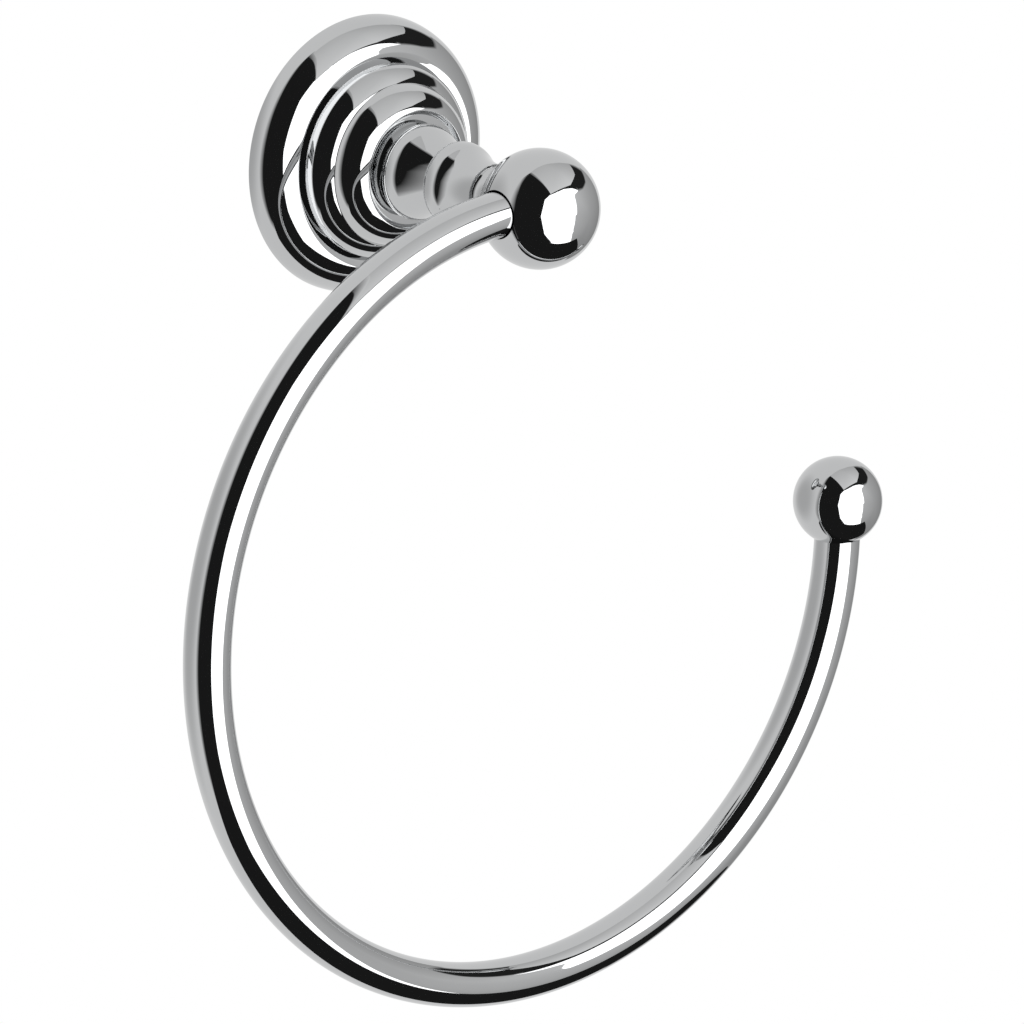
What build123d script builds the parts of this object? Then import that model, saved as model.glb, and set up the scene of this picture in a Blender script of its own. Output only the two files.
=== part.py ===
"""Towel ring: an open ring of bent bar, held by a ball on a turned post and a stepped wall rose.

Millimetres. The wall is the plane Y = 0, the part stands out from it towards -Y, and +Z is up.
The origin is the middle of the rose on the wall, on the axis of the post.
"""

import os
from math import sqrt

from build123d import *

os.makedirs("parts", exist_ok=True)

# Ring bar, a 10 mm bar that the bending has made a little oval
bar_width = 9.6  # in the ring's plane
bar_depth = 10.6  # across it
ring_radius = 86.0  # bend radius of the open ring, on the bar's centre line
ring_sweep = 236.1  # degrees of that bend
end_bend_radius = 79.0  # tighter bend that brings the bar into the ball
end_bend_angle = 37.8  # degrees
straight_left = 4.3  # straight end, left of the post's axis
straight_right = 5.0  # and past the axis
rod_edge = 0.6  # chamfer on the bar's ends

# Holder ball
ball_dia = 25.5
bore_rise = 0.7  # the bar lies this much above the middle of the ball
mouth_clearance = 0.5  # around the bar, in the wide mouth that clears the bend
mouth_depth = 6.5  # from the side of the ball
mouth_edge = 0.25  # softened edge of the mouth
grip_clearance = 0.1  # around the bar, where the ball grips it
bore_end_gap = 0.5  # beyond the end of the bar
seat_dia = 11.2  # flat where the ball meets the stem

# Finial ball on the free end
finial_dia = 19.6
finial_clearance = 0.1  # around the bar
finial_end_gap = 0.4  # beyond the end of the bar

# Wall rose, from the wall outwards
rose_dia = 60.6
rose_edge = 0.5  # chamfer at the wall
roll_one_turn = 6.35  # from the wall to where the first roll turns over
roll_one_turn_dia = 55.7
lip_reach = 8.9  # where the first roll ends in a lip
lip_dia = 46.9
ledge_reach = 8.2  # the ledge falls from the lip to the foot of the riser
riser_foot_dia = 41.9
riser_reach = 10.5  # top of the riser, where the second roll starts
roll_two_dia = 42.2
roll_two_reach = 14.05
roll_two_bulge = 0.36
roll_three_dia = 35.4
roll_three_bulge = 0.84
roll_three_reach = 19.6  # where the third roll ends in a lip
roll_three_end_dia = 25.7
rose_reach = 18.4  # sunk seat that the post stands on
rose_seat_dia = 24.1
roll_cove = 0.25  # hollow corner between the second and third rolls
rose_wall = 2.4  # at the front, under the nut
nut_room_dia = 20.0  # room for the nut and a socket wrench

# Post, from the rose outwards
seat_reach = 49.6  # wall to the ball's seat, which sets how far the ring stands out
spigot_dia = 12.0  # centres the post in the rose
spigot_clearance = 0.1
spigot_gap = 0.3  # the spigot stops short of the washer
foot_dia = 23.9  # thin flange that stands on the rose's seat
foot_width = 0.33
neck_dia = 17.3  # behind the hollow under the collar
neck_length = 2.72  # seat to collar
under_collar_dia = 19.65
collar_dia = 20.85
collar_width = 0.68
bell_start_dia = 20.44
bell_lean = 0.1  # slope of the bell where it leaves the collar
bell_turn = 2.7  # from the collar to where the bell turns hollow
bell_turn_dia = 18.82
bell_length = 10.5
bell_end_dia = 11.6
bead_start_dia = 16.5
bead_crest = 1.65  # from the start of the bead to its widest ring
bead_dia = 18.1
bead_turn = 4.4  # from the start of the bead to where it turns hollow
bead_turn_dia = 16.7
bead_end_dia = 12.8
stem_start_dia = 11.6
stem_dia = 10.4  # at the bottom of the hollow stem
stem_length = 4.2

# Tie stud, nut and washer
stud_dia = 6.0
thread_clearance = 0.1
stud_tail = 1.5  # past the nut
stud_edge = 0.5
tip_gap = 0.05  # between the stud's tip and the bar
nut_flats = 10.0
nut_height = 5.0
washer_dia = 14.0
washer_thickness = 1.2

# Wall plate and grub screw
plate_dia = 40.0  # at its front
plate_taper = 1.2  # how much smaller its radius is at the wall
plate_thickness = 5.0
plate_clearance = 0.4  # between the plate and the rose
plate_bore = 14.0
hole_spacing = 28.0
hole_dia = 4.5
hole_head_dia = 9.0
grub_dia = 4.0
grub_recess = 2.5  # how deep the screw's end lies in the rose
grub_point = 1.0  # length of its cone point
grub_point_dia = 2.0
grub_socket = 2.0  # across flats
grub_socket_depth = 2.2
grub_tip_gap = 0.1

# Places that follow from the sizes above
bore_base = bar_depth / 2  # the bar's larger half, which every bore for it clears
ball_radius = ball_dia / 2
finial_radius = finial_dia / 2
inner_reach = rose_reach - rose_wall
washer_reach = inner_reach - washer_thickness
nut_reach = washer_reach - nut_height
collar_reach = rose_reach + neck_length
bell_reach = collar_reach + collar_width
bead_reach = bell_reach + bell_length
stem_reach = seat_reach - stem_length
ball_reach = seat_reach + sqrt(ball_radius**2 - (seat_dia / 2) ** 2)
tip_reach = ball_reach - bore_base - tip_gap
grub_reach = plate_thickness / 2
grub_side = grub_reach + grub_point_dia / 2  # side of the point that meets the plate's taper first
grub_tip = plate_dia / 2 - plate_taper * (1 - grub_side / plate_thickness) + grub_tip_gap
grub_end = rose_dia / 2 - grub_recess
along_post = (0, -1)  # direction of the post's axis in a half section


def at(diameter, reach):
    """Point of a half section: a diameter about the post's axis, at a distance from the wall."""
    return (diameter / 2, -reach)


# Wall plate: disc with a tapered edge, which the grub screw draws towards the wall
with BuildPart() as wall_plate:
    with BuildSketch():
        with BuildLine():
            Polyline(
                at(plate_bore, 0),
                at(plate_dia - 2 * plate_taper, 0),
                at(plate_dia, plate_thickness),
                at(plate_bore, plate_thickness),
                close=True,
            )
        make_face()
    revolve(axis=Axis.Y)
    with Locations(Plane.XZ.offset(plate_thickness)):
        with GridLocations(hole_spacing, 0, 2, 1):
            CounterSinkHole(hole_dia / 2, hole_head_dia / 2, depth=plate_thickness)

# Wall rose: a roll with a sunk ledge behind its lip, then two rolls; room inside for the plate and nut
with BuildPart() as wall_rose:
    with BuildSketch() as rose_section:
        with BuildLine():
            wall_edge = at(rose_dia - 2 * rose_edge, 0)
            rim = at(rose_dia, rose_edge)
            roll_turning = at(roll_one_turn_dia, roll_one_turn)
            lip = at(lip_dia, lip_reach)
            riser_top = at(roll_two_dia, riser_reach)
            crease = at(roll_three_dia, roll_two_reach)
            front_lip = at(roll_three_end_dia, roll_three_reach)
            Polyline(at(0, 0), wall_edge, rim)
            roll_side = TangentArc(rim, roll_turning, tangent=along_post)
            TangentArc(roll_turning, lip, tangent=roll_side % 1)
            Polyline(lip, at(riser_foot_dia, ledge_reach), riser_top)
            SagittaArc(riser_top, crease, roll_two_bulge)
            SagittaArc(crease, front_lip, roll_three_bulge)
            Polyline(front_lip, at(rose_seat_dia, rose_reach), at(0, rose_reach), at(0, 0))
        make_face()
        fillet(rose_section.vertices().sort_by_distance(crease)[0], roll_cove)
    revolve(axis=Axis.Y)
    with BuildSketch(Plane.XZ):
        Circle(plate_dia / 2 + plate_clearance)
    extrude(amount=plate_thickness + plate_clearance, mode=Mode.SUBTRACT)
    with BuildSketch(Plane.XZ):
        Circle(nut_room_dia / 2)
    extrude(amount=inner_reach, mode=Mode.SUBTRACT)
    with BuildSketch(Plane.XZ):
        Circle(spigot_dia / 2 + spigot_clearance)
    extrude(amount=rose_reach, mode=Mode.SUBTRACT)
    with BuildSketch(Plane((0, -grub_reach, 0), z_dir=(0, 0, -1))):
        Circle(grub_dia / 2 + thread_clearance)
    extrude(amount=rose_dia / 2, mode=Mode.SUBTRACT)

# Grub screw: enters the rose from below, with its cone point on the plate's edge
with BuildPart() as rose_grub_screw:
    with BuildSketch(Plane.XZ.offset(grub_reach)):
        with BuildLine():
            Polyline(
                (0, -grub_tip),
                (grub_point_dia / 2, -grub_tip),
                (grub_dia / 2, -grub_tip - grub_point),
                (grub_dia / 2, -grub_end),
                (0, -grub_end),
                close=True,
            )
        make_face()
    revolve(axis=Axis((0, -grub_reach, 0), (0, 0, 1)))
    with BuildSketch(Plane((0, -grub_reach, -grub_end), z_dir=(0, 0, 1))):
        RegularPolygon(grub_socket / 2, 6, major_radius=False)
    extrude(amount=grub_socket_depth, mode=Mode.SUBTRACT)

# Post: one turning, with a hollow neck, a collar, a bell, a bead that runs out hollow, and a stem
with BuildPart() as post:
    with BuildSketch():
        with BuildLine():
            post_bore = stud_dia + 2 * thread_clearance
            neck = at(neck_dia, rose_reach + foot_width)
            Polyline(
                at(post_bore, seat_reach),
                at(post_bore, inner_reach + spigot_gap),
                at(spigot_dia, inner_reach + spigot_gap),
                at(spigot_dia, rose_reach),
                at(foot_dia, rose_reach),
                at(foot_dia, rose_reach + foot_width),
                neck,
            )
            TangentArc(neck, at(under_collar_dia, collar_reach), tangent=along_post)
            Polyline(
                at(under_collar_dia, collar_reach),
                at(collar_dia, collar_reach),
                at(collar_dia, bell_reach),
                at(bell_start_dia, bell_reach),
            )
            bell_turning = at(bell_turn_dia, bell_reach + bell_turn)
            shoulder = TangentArc(at(bell_start_dia, bell_reach), bell_turning, tangent=(-bell_lean, -1))
            TangentArc(bell_turning, at(bell_end_dia, bead_reach), tangent=shoulder % 1)
            Line(at(bell_end_dia, bead_reach), at(bead_start_dia, bead_reach))
            crest = at(bead_dia, bead_reach + bead_crest)
            bead_turning = at(bead_turn_dia, bead_reach + bead_turn)
            TangentArc(crest, at(bead_start_dia, bead_reach), tangent=(0, 1))
            brow = TangentArc(crest, bead_turning, tangent=along_post)
            TangentArc(bead_turning, at(bead_end_dia, stem_reach), tangent=brow % 1)
            Line(at(bead_end_dia, stem_reach), at(stem_start_dia, stem_reach))
            ThreePointArc(
                at(stem_start_dia, stem_reach),
                at(stem_dia, stem_reach + stem_length / 2),
                at(seat_dia, seat_reach),
            )
            Line(at(seat_dia, seat_reach), at(post_bore, seat_reach))
        make_face()
    revolve(axis=Axis.Y)

# Tie stud: from the nut inside the rose, through the post, to the bar in the ball
with BuildPart() as tie_stud:
    with BuildSketch(Plane.XZ.offset(nut_reach - stud_tail)):
        Circle(stud_dia / 2)
    extrude(amount=tip_reach - nut_reach + stud_tail)
    chamfer(tie_stud.edges().filter_by(GeomType.CIRCLE), stud_edge)

with BuildPart() as tie_nut:
    with BuildSketch(Plane.XZ.offset(nut_reach)):
        RegularPolygon(nut_flats / 2, 6, major_radius=False)
        Circle(stud_dia / 2 + thread_clearance, mode=Mode.SUBTRACT)
    extrude(amount=nut_height)

with BuildPart() as tie_washer:
    with BuildSketch(Plane.XZ.offset(washer_reach)):
        Circle(washer_dia / 2)
        Circle(stud_dia / 2 + thread_clearance, mode=Mode.SUBTRACT)
    extrude(amount=washer_thickness)

# Holder ball: flat seat on the stem, threaded for the stud, bored from the left for the bar
with BuildPart() as holder_ball:
    with Locations((0, -ball_reach, 0)):
        Sphere(ball_radius)
    split(bisect_by=Plane.XZ.offset(seat_reach), keep=Keep.TOP)
    with BuildSketch(Plane.XZ.offset(seat_reach)):
        Circle(stud_dia / 2 + thread_clearance)
    extrude(amount=ball_reach - seat_reach, mode=Mode.SUBTRACT)
    bore_end = straight_right + bore_end_gap
    with BuildSketch(Plane((bore_end, -ball_reach, bore_rise), z_dir=(-1, 0, 0))):
        Circle(bore_base + grip_clearance)
    extrude(amount=bore_end + ball_radius, mode=Mode.SUBTRACT)
    with BuildSketch(Plane((-ball_radius, -ball_reach, bore_rise), z_dir=(1, 0, 0))):
        Circle(bore_base + mouth_clearance)
    extrude(amount=mouth_depth, mode=Mode.SUBTRACT)
    chamfer(holder_ball.edges().sort_by(Axis.X)[0], mouth_edge)

# Ring bar: straight in the ball, a tighter bend out of it, then the open ring round to the finial
with BuildPart() as ring_rod:
    with BuildLine(Plane.XZ.offset(ball_reach)):
        straight = Line((straight_right, bore_rise), (-straight_left, bore_rise))
        end_bend = JernArc(straight @ 1, straight % 1, end_bend_radius, end_bend_angle)
        ring_bend = JernArc(end_bend @ 1, end_bend % 1, ring_radius, ring_sweep)
    with BuildSketch(Plane(straight @ 0, x_dir=(0, 1, 0), z_dir=straight % 0)):
        Ellipse(bar_depth / 2, bar_width / 2)
    sweep()
    chamfer(ring_rod.faces().filter_by(GeomType.PLANE).edges(), rod_edge)

# Finial ball: the bar's free end stops at its middle
with BuildPart() as finial_ball:
    finial_centre = ring_bend @ 1
    finial_mouth = ring_bend @ (1 - finial_radius / ring_bend.length)
    inwards = (finial_centre - finial_mouth).normalized()
    with Locations(finial_centre):
        Sphere(finial_radius)
    with BuildSketch(Plane(finial_centre + inwards * finial_end_gap, z_dir=-inwards)):
        Circle(bore_base + finial_clearance)
    extrude(amount=finial_dia, mode=Mode.SUBTRACT)

wall_plate.part.label = "wall_plate"
wall_rose.part.label = "wall_rose"
rose_grub_screw.part.label = "rose_grub_screw"
post.part.label = "post"
tie_stud.part.label = "tie_stud"
tie_nut.part.label = "tie_nut"
tie_washer.part.label = "tie_washer"
holder_ball.part.label = "holder_ball"
ring_rod.part.label = "ring_rod"
finial_ball.part.label = "finial_ball"

export_step(wall_plate.part, "parts/wall_plate.step")
export_step(wall_rose.part, "parts/wall_rose.step")
export_step(rose_grub_screw.part, "parts/rose_grub_screw.step")
export_step(post.part, "parts/post.step")
export_step(tie_stud.part, "parts/tie_stud.step")
export_step(tie_nut.part, "parts/tie_nut.step")
export_step(tie_washer.part, "parts/tie_washer.step")
export_step(holder_ball.part, "parts/holder_ball.step")
export_step(ring_rod.part, "parts/ring_rod.step")
export_step(finial_ball.part, "parts/finial_ball.step")

print("ball centre", round(ball_reach, 2), "mm from the wall, finial at", finial_centre)
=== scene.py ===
import math

import bpy
import numpy as np
from mathutils import Matrix, Vector


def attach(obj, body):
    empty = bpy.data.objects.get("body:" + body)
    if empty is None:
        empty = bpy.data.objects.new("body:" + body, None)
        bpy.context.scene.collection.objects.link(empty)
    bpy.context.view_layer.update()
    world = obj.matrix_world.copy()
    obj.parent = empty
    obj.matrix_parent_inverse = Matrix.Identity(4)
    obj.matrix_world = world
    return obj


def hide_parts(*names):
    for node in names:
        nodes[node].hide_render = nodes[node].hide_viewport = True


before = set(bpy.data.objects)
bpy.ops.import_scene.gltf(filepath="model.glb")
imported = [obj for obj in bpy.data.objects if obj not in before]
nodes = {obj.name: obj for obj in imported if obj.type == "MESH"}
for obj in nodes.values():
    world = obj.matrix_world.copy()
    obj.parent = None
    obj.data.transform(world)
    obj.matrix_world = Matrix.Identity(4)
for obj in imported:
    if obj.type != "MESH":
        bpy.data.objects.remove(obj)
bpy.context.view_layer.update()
mm = 0.001
sharpAngle = math.radians(35)  # edges that turn by more are shaded sharp
straightPoints = 3
drillSides = 64
print("frame loaded:", len(nodes), "nodes")


# one arc of a turned profile, in (reach, radius): the circle through both ends that stands off the chord by bulge
def bulgeArc(start, end, bulge, count):
    start, end = np.array(start, float), np.array(end, float)
    chord = end - start
    length = np.hypot(*chord)
    half = 2 * math.atan2(2 * bulge, length)
    size = length / 2 / math.sin(half)
    turn = np.linspace(-half, half, count)[:, None]
    along = chord / length
    outward = np.array([-along[1], along[0]])
    return (start + end) / 2 + along * size * np.sin(turn) + outward * size * (np.cos(turn) - math.cos(half))


# an arc that leaves start in a given direction and ends at end; curvature = 2 (chord . normal) / chord squared
def tangentArc(start, heading, end, count):
    start, heading, end = (np.array(v, float) for v in (start, heading, end))
    heading = heading / np.hypot(*heading)
    normal = np.array([-heading[1], heading[0]])
    chord = end - start
    turn = 2 * math.atan2(chord @ normal, chord @ heading)
    curve = 2 * (chord @ normal) / (chord @ chord)
    sweep = np.linspace(0, turn, count)[:, None]
    points = start + (heading * np.sin(sweep) + normal * (1 - np.cos(sweep))) / curve
    leaving = heading * math.cos(turn) + normal * math.sin(turn)
    return points, leaving


# straight run: start and end mixed by each point's share of the way
def straight(start, end):
    share = np.linspace(0, 1, straightPoints)[:, None]
    return np.array(start, float) * (1 - share) + np.array(end, float) * share


def straightRuns(corners):
    return [straight(a, b) for a, b in zip(corners[:-1], corners[1:])]


# length along a line of points: running sum of the steps
def lengthAlong(points):
    return np.r_[0, np.cumsum(np.hypot(*np.diff(points, axis=0).T))]


# runs joined end to end into one closed outline; each corner is cut back by soft and bridged by a parabola
def softOutline(runs, soft, bridgePoints=5, mostCut=0.3):
    pieces = []
    for run, following in zip(runs, runs[1:] + runs[:1]):
        steps, nextSteps = lengthAlong(run), lengthAlong(following)
        cut, nextCut = min(soft, steps[-1] * mostCut), min(soft, nextSteps[-1] * mostCut)
        where = np.linspace(cut, steps[-1] - cut, len(run))
        kept = np.c_[np.interp(where, steps, run[:, 0]), np.interp(where, steps, run[:, 1])]
        landing = np.array([np.interp(nextCut, nextSteps, following[:, k]) for k in (0, 1)])
        share = np.linspace(0, 1, bridgePoints + 2)[1:-1, None]
        bridge = (1 - share) ** 2 * kept[-1] + 2 * share * (1 - share) * run[-1] + share ** 2 * landing
        pieces += [kept, bridge]
    return np.vstack(pieces)


def anglesRound(count):
    return np.linspace(0, 2 * math.pi, count, endpoint=False)


# closed outline turned about the post's axis: x = r cos a, y = -reach, z = r sin a
def turned(outline, around):
    angle = anglesRound(around)
    reach, radius = outline[:, :1], outline[:, 1:]
    return np.stack([radius * np.cos(angle), -reach + 0 * angle, radius * np.sin(angle)], -1) * mm


# grid of points to a closed mesh: each row wraps round, rows join up when loop is set, else end in two poles
def skin(name, grid, loop=False, poles=None):
    rows, around = grid.shape[:2]
    index = np.arange(rows * around).reshape(rows, around)
    nextRow = np.roll(index, -1, 0) if loop else index[1:]
    thisRow = index if loop else index[:-1]
    quads = np.stack([thisRow, nextRow, np.roll(nextRow, -1, 1), np.roll(thisRow, -1, 1)], -1).reshape(-1, 4)
    points = grid.reshape(-1, 3)
    faces = quads.tolist()
    if poles is not None:
        first, last = len(points), len(points) + 1
        points = np.vstack([points, np.array(poles)])
        top, bottom = index[0], index[-1]
        faces += np.stack([top, np.roll(top, -1), np.full(around, first)], -1).tolist()
        faces += np.stack([np.roll(bottom, -1), bottom, np.full(around, last)], -1).tolist()
    mesh = bpy.data.meshes.new(name)
    mesh.from_pydata(points.tolist(), [], faces)
    mesh.validate()
    corners = np.zeros(len(mesh.vertices) * 3)
    mesh.vertices.foreach_get("co", corners)
    mesh.calc_loop_triangles()
    triangles = np.zeros(len(mesh.loop_triangles) * 3, np.int32)
    mesh.loop_triangles.foreach_get("vertices", triangles)
    a, b, c = corners.reshape(-1, 3)[triangles.reshape(-1, 3)].transpose(1, 0, 2)
    if np.einsum("ij,ij->i", a, np.cross(b, c)).sum() < 0:  # signed volume below zero: inside out
        mesh.flip_normals()
    mesh.shade_smooth()
    mesh.set_sharp_from_angle(angle=sharpAngle)
    piece = bpy.data.objects.new(name, mesh)
    bpy.context.scene.collection.objects.link(piece)
    return piece


# round bore cut from start to end: radius (x cos a + second sin a) about the line between them
def drillOut(piece, start, end, radius, second):
    angle = anglesRound(drillSides)[:, None]
    ring = radius * (np.cos(angle) * np.array([1.0, 0, 0]) + np.sin(angle) * np.array(second))
    ends = np.array([start, end], float)
    cutter = skin("drillBit", (ends[:, None] + ring) * mm, poles=ends * mm)
    drill = piece.modifiers.new("drill", "BOOLEAN")
    drill.object = cutter
    drill.operation = "DIFFERENCE"
    drill.solver = "EXACT"
    bpy.context.view_layer.objects.active = piece
    bpy.ops.object.modifier_apply(modifier=drill.name)
    piece.data.set_sharp_from_angle(angle=sharpAngle)
    bpy.data.objects.remove(cutter)


# plated metal: colour and polish vary a little over a few millimetres
chromeLook = {"dark": (0.585, 0.592, 0.598), "bright": (0.605, 0.611, 0.616), "roughLow": 0.012, "roughHigh": 0.035,
              "cloud": 55.0, "haze": 420.0, "ripple": 0.00002}
zincLook = {"dark": (0.40, 0.41, 0.42), "bright": (0.60, 0.60, 0.58), "roughLow": 0.28, "roughHigh": 0.5,
            "cloud": 160.0, "haze": 900.0, "ripple": 0.00004}
plating = {"cloudDetail": 3.0, "hazeDetail": 4.0, "noiseLow": 0.3, "noiseHigh": 0.7, "rippleStrength": 0.5}


def platedMetal(name, look, p):
    metal = bpy.data.materials.new(name)
    metal.use_nodes = True
    tree = metal.node_tree
    shader = tree.nodes["Principled BSDF"]
    shader.inputs["Metallic"].default_value = 1.0
    where = tree.nodes.new("ShaderNodeTexCoord")
    cloud = tree.nodes.new("ShaderNodeTexNoise")
    cloud.inputs["Scale"].default_value = look["cloud"]
    cloud.inputs["Detail"].default_value = p["cloudDetail"]
    haze = tree.nodes.new("ShaderNodeTexNoise")
    haze.inputs["Scale"].default_value = look["haze"]
    haze.inputs["Detail"].default_value = p["hazeDetail"]
    tint = tree.nodes.new("ShaderNodeValToRGB")
    tint.color_ramp.elements[0].color = (*look["dark"], 1)
    tint.color_ramp.elements[1].color = (*look["bright"], 1)
    tint.color_ramp.elements[0].position = p["noiseLow"]
    tint.color_ramp.elements[1].position = p["noiseHigh"]
    polish = tree.nodes.new("ShaderNodeMapRange")
    polish.inputs["From Min"].default_value = p["noiseLow"]
    polish.inputs["From Max"].default_value = p["noiseHigh"]
    polish.inputs["To Min"].default_value = look["roughLow"]
    polish.inputs["To Max"].default_value = look["roughHigh"]
    ripple = tree.nodes.new("ShaderNodeBump")
    ripple.inputs["Distance"].default_value = look["ripple"]
    ripple.inputs["Strength"].default_value = p["rippleStrength"]
    link = tree.links.new
    link(where.outputs["Object"], cloud.inputs["Vector"])
    link(where.outputs["Object"], haze.inputs["Vector"])
    link(cloud.outputs["Fac"], tint.inputs["Fac"])
    link(tint.outputs["Color"], shader.inputs["Base Color"])
    link(haze.outputs["Fac"], polish.inputs["Value"])
    link(polish.outputs["Result"], shader.inputs["Roughness"])
    link(cloud.outputs["Fac"], ripple.inputs["Height"])
    link(ripple.outputs["Normal"], shader.inputs["Normal"])
    return metal


chrome = platedMetal("polishedChrome", chromeLook, plating)
zinc = platedMetal("zincPlate", zincLook, plating)


def dress(piece, node, metal=chrome):
    piece.data.materials.append(metal)
    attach(piece, "root")
    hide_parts(node)
    print(node, "made:", len(piece.data.polygons), "faces")


# wall rose, (reach, radius) in mm from the wall outwards
rose = {"radius": 30.3, "edge": 0.5, "rollTurn": 6.35, "rollTurnRadius": 27.85, "lip": 8.9, "lipRadius": 23.45,
        "ledge": 8.2, "ledgeBulge": 0.08, "riserFoot": 20.95, "riserTop": 10.5, "rollTwo": 21.1, "rollTwoEnd": 14.05,
        "rollTwoBulge": 0.36, "rollThree": 17.7, "rollThreeBulge": 0.84, "rollThreeEnd": 19.6, "frontLip": 12.85,
        "front": 18.4, "seat": 12.05, "spigotHole": 6.1, "frontWall": 2.4, "nutRoom": 10.0, "plateRoom": 20.4,
        "plateDepth": 5.4, "soft": 0.14, "around": 320, "rollPoints": 44, "ledgePoints": 16, "rollTwoPoints": 36,
        "grubReach": 2.5, "grubHole": 2.1, "grubOutside": 2.0, "grubInside": 1.0}


# closed section: back edge, three rolls and the ledge as arcs, then the sunk seat and the hollow back as straights
def roseOutline(r):
    inner = r["front"] - r["frontWall"]
    back, rim = (0, r["radius"] - r["edge"]), (r["edge"], r["radius"])
    rollTurn, lip = (r["rollTurn"], r["rollTurnRadius"]), (r["lip"], r["lipRadius"])
    riserFoot, riserTop = (r["ledge"], r["riserFoot"]), (r["riserTop"], r["rollTwo"])
    crease, frontLip = (r["rollTwoEnd"], r["rollThree"]), (r["rollThreeEnd"], r["frontLip"])
    inside = [frontLip, (r["front"], r["seat"]), (r["front"], r["spigotHole"]), (inner, r["spigotHole"]),
              (inner, r["nutRoom"]), (r["plateDepth"], r["nutRoom"]), (r["plateDepth"], r["plateRoom"]),
              (0, r["plateRoom"]), back]
    side, heading = tangentArc(rim, (1, 0), rollTurn, r["rollPoints"])
    over, _ = tangentArc(rollTurn, heading, lip, r["rollPoints"])
    ledge = bulgeArc(lip, riserFoot, r["ledgeBulge"], r["ledgePoints"])
    rollTwo = bulgeArc(riserTop, crease, r["rollTwoBulge"], r["rollTwoPoints"])
    rollThree = bulgeArc(crease, frontLip, r["rollThreeBulge"], r["rollPoints"])
    runs = [straight(back, rim), np.vstack([side, over[1:]]), ledge, straight(riserFoot, riserTop), rollTwo, rollThree]
    return softOutline(runs + straightRuns(inside), r["soft"])


# bore for the grub screw, straight up into the rose from below
def cutGrubHole(piece, r):
    start = (0, -r["grubReach"], -r["radius"] - r["grubOutside"])
    end = (0, -r["grubReach"], -r["plateRoom"] + r["grubInside"])
    drillOut(piece, start, end, r["grubHole"], (0, 1, 0))


wallRose = skin("wall_rose_turned", turned(roseOutline(rose), rose["around"]), loop=True)
cutGrubHole(wallRose, rose)
dress(wallRose, "wall_rose")

# post, one turning from the spigot in the rose to the seat of the ball
turning = {"spigot": 6.0, "spigotEnd": 16.3, "foot": 11.95, "footStart": 18.4, "footWidth": 0.33, "neck": 8.65,
           "collarStart": 21.12, "underCollar": 9.825, "collar": 10.425, "collarWidth": 0.68, "bellStart": 10.22,
           "bellLean": 0.1, "bellTurn": 2.7, "bellTurnRadius": 9.41, "bellLength": 10.5, "bellEnd": 5.8,
           "beadStart": 8.25, "beadCrest": 1.65, "bead": 9.05, "beadTurn": 4.4, "beadTurnRadius": 8.35,
           "beadLength": 13.1, "beadEnd": 6.4, "stemStart": 5.8, "stem": 5.2, "stemLength": 4.2, "seat": 5.6,
           "bore": 3.1, "soft": 0.1, "around": 240, "covePoints": 24, "curvePoints": 40}


# closed section: bore, spigot and foot as straights, then cove, collar, bell, bead and hollow stem as arcs
def postOutline(t):
    footEnd = t["footStart"] + t["footWidth"]
    bellStart = t["collarStart"] + t["collarWidth"]
    beadStart = bellStart + t["bellLength"]
    stemStart = beadStart + t["beadLength"]
    seat = stemStart + t["stemLength"]
    neck, underCollar = (footEnd, t["neck"]), (t["collarStart"], t["underCollar"])
    cove, _ = tangentArc(neck, (1, 0), underCollar, t["covePoints"])
    bellTurn = (bellStart + t["bellTurn"], t["bellTurnRadius"])
    shoulder, heading = tangentArc((bellStart, t["bellStart"]), (1, -t["bellLean"]), bellTurn, t["curvePoints"])
    flare, _ = tangentArc(bellTurn, heading, (beadStart, t["bellEnd"]), t["curvePoints"])
    crest = (beadStart + t["beadCrest"], t["bead"])
    beadBack, _ = tangentArc(crest, (-1, 0), (beadStart, t["beadStart"]), t["covePoints"])
    beadTurn = (beadStart + t["beadTurn"], t["beadTurnRadius"])
    brow, heading = tangentArc(crest, (1, 0), beadTurn, t["curvePoints"])
    runOut, _ = tangentArc(beadTurn, heading, (stemStart, t["beadEnd"]), t["curvePoints"])
    hollow = (t["stemStart"] + t["seat"]) / 2 - t["stem"]
    stem = bulgeArc((stemStart, t["stemStart"]), (seat, t["seat"]), -hollow, t["curvePoints"])
    spigot = [(seat, t["seat"]), (seat, t["bore"]), (t["spigotEnd"], t["bore"]), (t["spigotEnd"], t["spigot"]),
              (t["footStart"], t["spigot"]), (t["footStart"], t["foot"]), (footEnd, t["foot"]), neck]
    collar = [underCollar, (t["collarStart"], t["collar"]), (bellStart, t["collar"]), (bellStart, t["bellStart"])]
    runs = straightRuns(spigot) + [cove] + straightRuns(collar)
    runs += [np.vstack([shoulder, flare[1:]]), straight((beadStart, t["bellEnd"]), (beadStart, t["beadStart"]))]
    runs += [np.vstack([beadBack[::-1], brow[1:], runOut[1:]])]
    runs += [straight((stemStart, t["beadEnd"]), (stemStart, t["stemStart"])), stem]
    return softOutline(runs, t["soft"])


post = skin("post_turned", turned(postOutline(turning), turning["around"]), loop=True)
dress(post, "post")

# ring bar: straight end in the ball, tighter bend, then the open ring, all in the plane y = -reach
bar = {"halfWidth": 4.8, "halfDepth": 5.3, "reach": 61.0544, "rise": 0.7, "right": 5.0, "left": 4.3,
       "bendRadius": 79.0, "bendAngle": 37.8, "ringRadius": 86.0, "ringSweep": 236.1, "edge": 0.6,
       "steps": 620, "around": 72}


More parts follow.
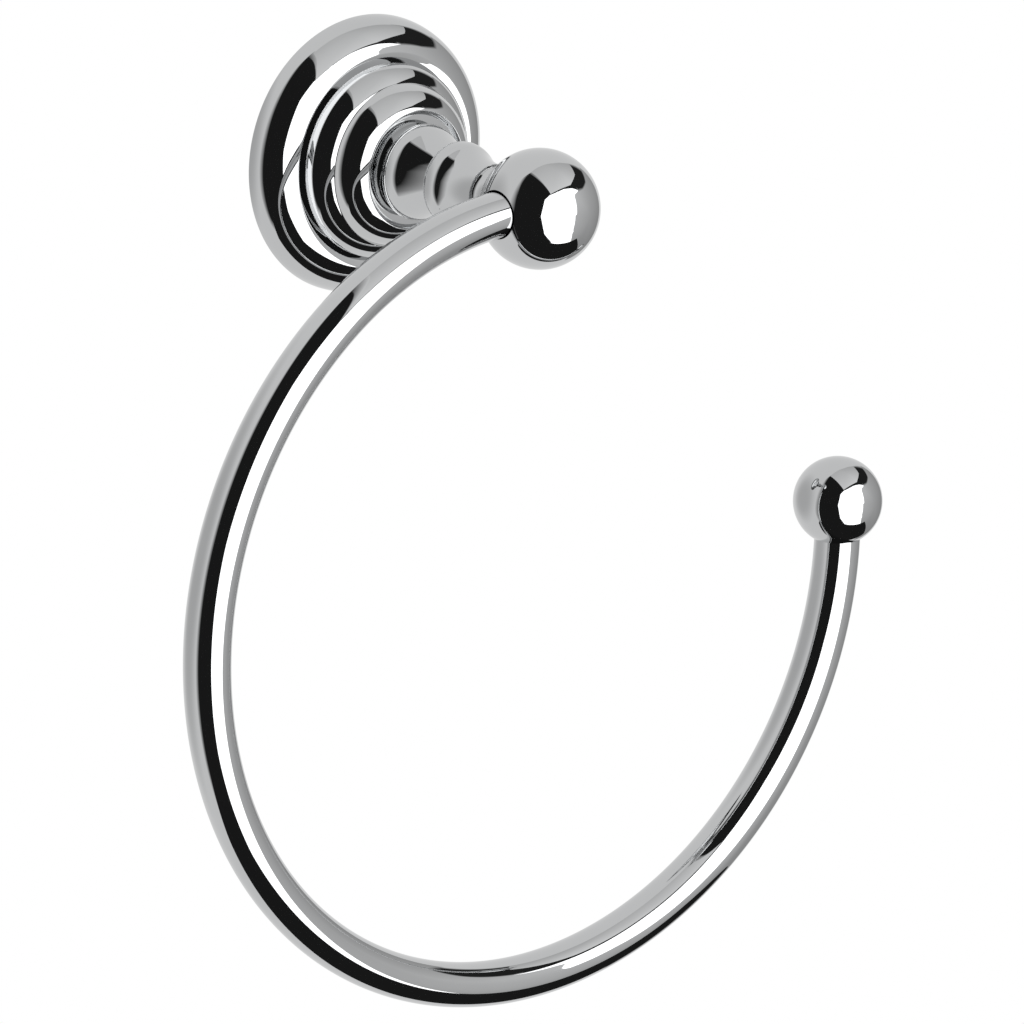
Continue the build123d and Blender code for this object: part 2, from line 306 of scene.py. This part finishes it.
# centre line by length s: heading angle grows from 180 degrees by the bend's and then the ring's curvature
def barLine(b):
    straightLength = b["right"] + b["left"]
    bendLength = math.radians(b["bendAngle"]) * b["bendRadius"]
    ringLength = math.radians(b["ringSweep"]) * b["ringRadius"]
    s = np.linspace(0, straightLength + bendLength + ringLength, b["steps"])
    bend = np.clip((s - straightLength) / b["bendRadius"], 0, math.radians(b["bendAngle"]))
    ring = np.clip((s - straightLength - bendLength) / b["ringRadius"], 0, None)
    heading = math.pi + bend + ring
    bendCentre = np.array([-b["left"], b["rise"] - b["bendRadius"]])
    outOfBall = math.radians(90 + b["bendAngle"])
    towardRing = np.array([math.cos(outOfBall), math.sin(outOfBall)])
    ringCentre = bendCentre - (b["ringRadius"] - b["bendRadius"]) * towardRing
    onStraight = np.stack([b["right"] - s, np.full_like(s, b["rise"])], -1)
    side = np.stack([np.sin(heading), -np.cos(heading)], -1)  # from the bend's centre to the bar
    onBend = bendCentre + b["bendRadius"] * side
    onRing = ringCentre + b["ringRadius"] * side
    line = np.where((s <= straightLength)[:, None], onStraight, np.where((ring > 0)[:, None], onRing, onBend))
    return line, side


# oval rings across the centre line: halfWidth cos a in the ring's plane, halfDepth sin a along y
def barGrid(b):
    line, side = barLine(b)
    lengths = lengthAlong(line)
    edge = b["edge"] * np.clip(1 - np.minimum(lengths, lengths[-1] - lengths) / b["edge"], 0, 1)[:, None]
    angle = anglesRound(b["around"])
    out = (b["halfWidth"] - edge) * np.cos(angle)
    x = line[:, :1] + side[:, :1] * out
    z = line[:, 1:] + side[:, 1:] * out
    y = -b["reach"] + (b["halfDepth"] - edge) * np.sin(angle)
    ends = [(line[k, 0] * mm, -b["reach"] * mm, line[k, 1] * mm) for k in (0, -1)]
    return np.stack([x, y, z], -1) * mm, ends


barPoints, barEnds = barGrid(bar)
ringBar = skin("ring_bar", barPoints, poles=barEnds)
dress(ringBar, "ring_rod")

# holder ball: bored from the left, flat where it sits on the stem
holder = {"radius": 12.75, "seatReach": 49.6, "bore": 5.4, "boreEnd": 5.5, "mouthRise": 0.4, "mouthHalfHeight": 5.15,
          "mouthHalfDepth": 5.6, "mouthDepth": 6.5, "studBore": 3.1, "studOutside": 2.0,
          "around": 256, "rows": 150, "boreRows": 7}


# outside: great circles from the mouth's oval edge to the pole opposite; inside: rings along the bore
def holderGrid(h, b):
    angle = anglesRound(h["around"])
    oval = np.stack([0 * angle, h["mouthHalfDepth"] * np.cos(angle),
                     h["mouthRise"] + h["mouthHalfHeight"] * np.sin(angle)], -1)
    edge = oval.copy()
    edge[:, 0] = -np.sqrt(h["radius"] ** 2 - edge[:, 1] ** 2 - edge[:, 2] ** 2)
    pole = np.array([1.0, 0, 0])
    start = edge / h["radius"]
    across = np.arccos(np.clip(start @ pole, -1, 1))
    share = np.linspace(0, 1, h["rows"] + 1)[:-1, None]
    weightStart = np.sin((1 - share) * across) / np.sin(across)
    weightPole = np.sin(share * across) / np.sin(across)
    outside = h["radius"] * (weightStart[..., None] * start + weightPole[..., None] * pole)
    stepX = h["mouthDepth"] - h["radius"]

    def ring(x, size):
        return np.stack([x + 0 * angle, size * np.cos(angle), b["rise"] + size * np.sin(angle)], -1)

    wall = np.linspace(0, 1, h["boreRows"] + 1)[1:, None, None]
    mouthWall = (1 - wall) * edge + wall * (oval + (stepX, 0, 0))
    boreWall = (1 - wall) * ring(stepX, h["bore"]) + wall * ring(h["boreEnd"], h["bore"])
    inside = np.concatenate([mouthWall, ring(stepX, h["bore"])[None], boreWall])
    grid = np.concatenate([inside[::-1], outside])
    grid[..., 1] = np.minimum(grid[..., 1] - b["reach"], -h["seatReach"])
    ends = [(h["boreEnd"] * mm, -b["reach"] * mm, b["rise"] * mm), (h["radius"] * mm, -b["reach"] * mm, 0)]
    return grid * mm, ends


# bore for the stud, from the flat seat into the bar's bore
def cutStudBore(piece, h, b):
    start = (0, h["studOutside"] - h["seatReach"], 0)
    drillOut(piece, start, (0, -b["reach"], 0), h["studBore"], (0, 0, 1))


ballPoints, ballEnds = holderGrid(holder, bar)
holderBall = skin("holder_ball_bored", ballPoints, poles=ballEnds)
cutStudBore(holderBall, holder, bar)
dress(holderBall, "holder_ball")

# finial ball: blind bore along the bar's last stretch
finial = {"radius": 9.8, "bore": 5.4, "endGap": 0.4, "around": 224, "rows": 120, "boreRows": 7}


# bore's wall, then a half circle from the mouth to the far pole, turned about the bore's own axis
def finialGrid(f, b):
    line, _ = barLine(b)
    centre = np.array([line[-1, 0], -b["reach"], line[-1, 1]])
    back = np.hypot(*(line - line[-1]).T)
    half = len(back) // 2  # only the bar's second half is near the finial
    mouth = line[np.argmin(np.abs(back[half:] - f["radius"])) + half]
    inward = np.array([centre[0] - mouth[0], 0, centre[2] - mouth[1]])
    inward /= np.linalg.norm(inward)
    sideways = np.array([0, 1.0, 0])
    third = np.cross(inward, sideways)
    opening = math.asin(f["bore"] / f["radius"])
    turn = np.linspace(math.pi - opening, 0, f["rows"], endpoint=False)
    boreAlong = np.linspace(f["endGap"], -f["radius"] * math.cos(opening), f["boreRows"] + 1)[:-1]
    along = np.r_[boreAlong, f["radius"] * np.cos(turn)]
    size = np.r_[np.full(f["boreRows"], f["bore"]), f["radius"] * np.sin(turn)]
    angle = anglesRound(f["around"])
    spoke = np.cos(angle)[:, None] * sideways + np.sin(angle)[:, None] * third
    grid = centre + along[:, None, None] * inward + size[:, None, None] * spoke
    ends = [tuple((centre + reach * inward) * mm) for reach in (f["endGap"], f["radius"])]
    return grid * mm, ends


finialPoints, finialEnds = finialGrid(finial, bar)
finialBall = skin("finial_ball_bored", finialPoints, poles=finialEnds)
dress(finialBall, "finial_ball")

for hidden in ("wall_plate", "rose_grub_screw", "tie_stud", "tie_nut", "tie_washer"):
    nodes[hidden].data.materials.clear()
    nodes[hidden].data.materials.append(zinc)
print("hidden fasteners dressed in zinc")

# studio cards round the ball: corners as (degrees right of straight out from the wall, degrees up), in order round
# the edge; far is in metres, fade is where a soft edge has died away, levels is a glow for each corner
studio = {
    "frontSoftbox": {"far": 1.0, "glow": 2.4,
                     "corners": [(-37, 0), (-29, 30), (-6, 43), (23, 42), (44, 35), (54, 27), (56, 0), (52, -30),
                                 (42, -44), (36, -52), (11, -60), (-13, -48), (-29, -34)]},
    "rightPanel": {"far": 0.95, "levels": [0.8, 0.68, 0.6, 0.5, 0.38, 0.33, 0.3, 0.3, 0.42, 0.5, 0.58, 0.68],
                   "corners": [(35, 25), (31, -2), (31, -30), (40, -43), (60, -50), (90, -52), (112, -50), (112, -17),
                               (112, 18), (90, 21), (71, 23), (54, 26)]},
    "darkPatch": {"far": 0.9, "glow": 0.02,
                  "corners": [(102, 40), (104, 20), (88, 20), (70, 23), (57, 28), (52, 44), (82, 44)],
                  "fade": [(106, 44), (111, 17), (88, 18), (68, 21), (52, 25), (43, 47), (82, 48)]},
    "leftFlag": {"far": 2.4, "glow": 0.014,
                 "corners": [(-116, 73), (-14, 41), (5, 10), (5, -30), (-30, -62), (-87, -44), (-89, -20), (-88, 12),
                             (-91, 36), (-98, 54)],
                 "fade": [(-130, 79), (-14, 44), (8, 10), (8, -32), (-30, -66), (-98, -48), (-102, -20), (-101, 12),
                          (-104, 38), (-111, 57)]},
    "topPanel": {"far": 0.7, "levels": [0.66, 0.66, 0.6, 0.56, 0.72, 0.95, 0.9],
                 "corners": [(-122, 76), (140, 79), (107, 60), (105, 36), (82, 37), (46, 40), (-14, 40)]},
}
gapStrip = {"far": 0.97, "glow": 0.02, "lower": [(-14, 38.5), (4, 41), (23, 41.5), (44, 35), (53, 28)],
            "upper": [(-14, 44), (4, 50), (23, 51), (46, 46), (60, 36)]}
blackFloor = {"z": -0.41, "glow": 0.014,
              "corners": [(-0.7, -0.15), (-0.42, -0.07), (-0.26, 0.0), (0.41, 0.0), (0.41, -0.371), (-0.7, -0.371)]}
ballCentre = np.array([0, -bar["reach"] * mm, 0])


# glow from each point's own level, thinned out to nothing where solid falls to 0
def cardMaterial():
    material = bpy.data.materials.new("cardLight")
    material.use_nodes = True
    tree = material.node_tree
    tree.nodes.remove(tree.nodes["Principled BSDF"])
    light = tree.nodes.new("ShaderNodeEmission")
    clear = tree.nodes.new("ShaderNodeBsdfTransparent")
    blend = tree.nodes.new("ShaderNodeMixShader")
    level = tree.nodes.new("ShaderNodeAttribute")
    level.attribute_name = "level"
    solid = tree.nodes.new("ShaderNodeAttribute")
    solid.attribute_name = "solid"
    link = tree.links.new
    link(level.outputs["Fac"], light.inputs["Strength"])
    link(solid.outputs["Fac"], blend.inputs["Fac"])
    link(clear.outputs["BSDF"], blend.inputs[1])
    link(light.outputs["Emission"], blend.inputs[2])
    link(blend.outputs["Shader"], tree.nodes["Material Output"].inputs["Surface"])
    return material


cardLight = cardMaterial()


def hangCard(name, points, faces, level, solid):
    mesh = bpy.data.meshes.new(name)
    mesh.from_pydata(points.tolist(), [], faces)
    mesh.attributes.new("level", "FLOAT", "POINT").data.foreach_set("value", level)
    mesh.attributes.new("solid", "FLOAT", "POINT").data.foreach_set("value", solid)
    mesh.materials.append(cardLight)
    piece = bpy.data.objects.new(name, mesh)
    bpy.context.scene.collection.objects.link(piece)
    piece.visible_camera = False
    piece.visible_shadow = False
    return piece


# unit directions: x = sin turn cos rise, y = -cos turn cos rise, z = sin rise
def aim(corners):
    turn, rise = np.radians(np.array(corners, float)).T
    return np.stack([np.sin(turn) * np.cos(rise), -np.cos(turn) * np.cos(rise), np.sin(rise)], -1)


# card: corners on a sphere round the ball, fanned from their middle, with a fading ring outside where asked
def studioCard(name, card):
    corners = aim(card["corners"])
    middle = corners.mean(0) / np.linalg.norm(corners.mean(0))
    fade = aim(card["fade"]) if "fade" in card else np.zeros((0, 3))
    around = len(corners)
    this = np.arange(around) + 1
    after = np.roll(this, -1)
    faces = np.stack([0 * this, this, after], -1).tolist()
    if len(fade):
        faces += np.stack([this, this + around, after + around, after], -1).tolist()
    levels = np.array(card["levels"] if "levels" in card else [card["glow"]] * around, float)
    level = np.r_[levels.mean(), levels, levels[:len(fade)]]
    solid = np.r_[np.ones(around + 1), np.zeros(len(fade))]
    hangCard(name, ballCentre + card["far"] * np.vstack([middle, corners, fade]), faces, level, solid)


for name, card in studio.items():
    studioCard(name, card)


# dark gap along the softbox's upper edge: a band between two lines of directions
def hangGapStrip(strip):
    points = ballCentre + strip["far"] * aim(strip["lower"] + strip["upper"])
    count = len(strip["lower"])
    step = np.arange(count - 1)
    faces = np.stack([step, step + 1, step + count + 1, step + count], -1).tolist()
    hangCard("gapStrip", points, faces, np.full(2 * count, strip["glow"]), np.ones(2 * count))


hangGapStrip(gapStrip)


# black card below: one level polygon, its corners as (x, y) in metres
def layBlackFloor(f):
    across = np.array(f["corners"])
    count = len(across)
    points = np.c_[across, np.full(count, f["z"])]
    hangCard("blackFloor", points, [tuple(range(count))], np.full(count, f["glow"]), np.ones(count))


layBlackFloor(blackFloor)

# pale room, a little darker behind on the left
room = {"level": 0.82, "dimTurn": -143.0, "dimRise": 0.0, "dim": 0.57, "dimFull": 6.0, "dimNone": 45.0}


def buildRoom(r):
    world = bpy.data.worlds.new("paleRoom")
    bpy.context.scene.world = world
    world.use_nodes = True
    tree = world.node_tree
    link = tree.links.new
    background = tree.nodes["Background"]
    background.inputs["Color"].default_value = (1, 1, 1, 1)
    where = tree.nodes.new("ShaderNodeTexCoord")
    toward = tree.nodes.new("ShaderNodeVectorMath")
    toward.operation = "DOT_PRODUCT"
    toward.inputs[1].default_value = aim([(r["dimTurn"], r["dimRise"])])[0]
    level = tree.nodes.new("ShaderNodeMapRange")
    level.interpolation_type = "SMOOTHSTEP"
    level.inputs["From Min"].default_value = math.cos(math.radians(r["dimNone"]))
    level.inputs["From Max"].default_value = math.cos(math.radians(r["dimFull"]))
    level.inputs["To Min"].default_value = r["level"]
    level.inputs["To Max"].default_value = r["dim"]
    ray = tree.nodes.new("ShaderNodeLightPath")
    seen = tree.nodes.new("ShaderNodeMix")  # white straight to the camera, the room's levels to everything else
    seen.inputs["B"].default_value = 1.0
    link(where.outputs["Generated"], toward.inputs[0])
    link(toward.outputs["Value"], level.inputs["Value"])
    link(level.outputs["Result"], seen.inputs["A"])
    link(ray.outputs["Is Camera Ray"], seen.inputs["Factor"])
    link(seen.outputs["Result"], background.inputs["Strength"])


buildRoom(room)

# pale floor, far below the view
floorForm = {"drop": 2.6, "half": 6.0, "glow": 1.0}


def buildFloor(f):
    h, z = f["half"], -f["drop"]
    points = np.array([(-h, -h, z), (h, -h, z), (h, h, z), (-h, h, z)])
    count = len(points)
    floor = hangCard("paleFloor", points, [tuple(range(count))], np.full(count, f["glow"]), np.ones(count))
    floor.visible_camera = True
    floor.visible_glossy = False  # the metal shows the room below instead


buildFloor(floorForm)
print("studio built")

# camera, fitted to the photo's ellipses
shot = {"place": (-0.96990, -1.23940, 0.37943), "ahead": (0.60778, 0.74304, -0.28017), "roll": 0.988, "lens": 264.8,
        "sensor": 36.0, "clipEnd": 100.0}
cameraData = bpy.data.cameras.new("photoCamera")
cameraData.lens = shot["lens"]
cameraData.sensor_width = shot["sensor"]
cameraData.clip_end = shot["clipEnd"]
camera = bpy.data.objects.new("photoCamera", cameraData)
bpy.context.scene.collection.objects.link(camera)
looking = Vector(shot["ahead"]).to_track_quat("-Z", "Y").to_matrix().to_4x4()
camera.matrix_world = Matrix.Translation(shot["place"]) @ looking @ Matrix.Rotation(math.radians(shot["roll"]), 4, "Z")
bpy.context.scene.camera = camera
bpy.context.scene.view_settings.view_transform = "Standard"
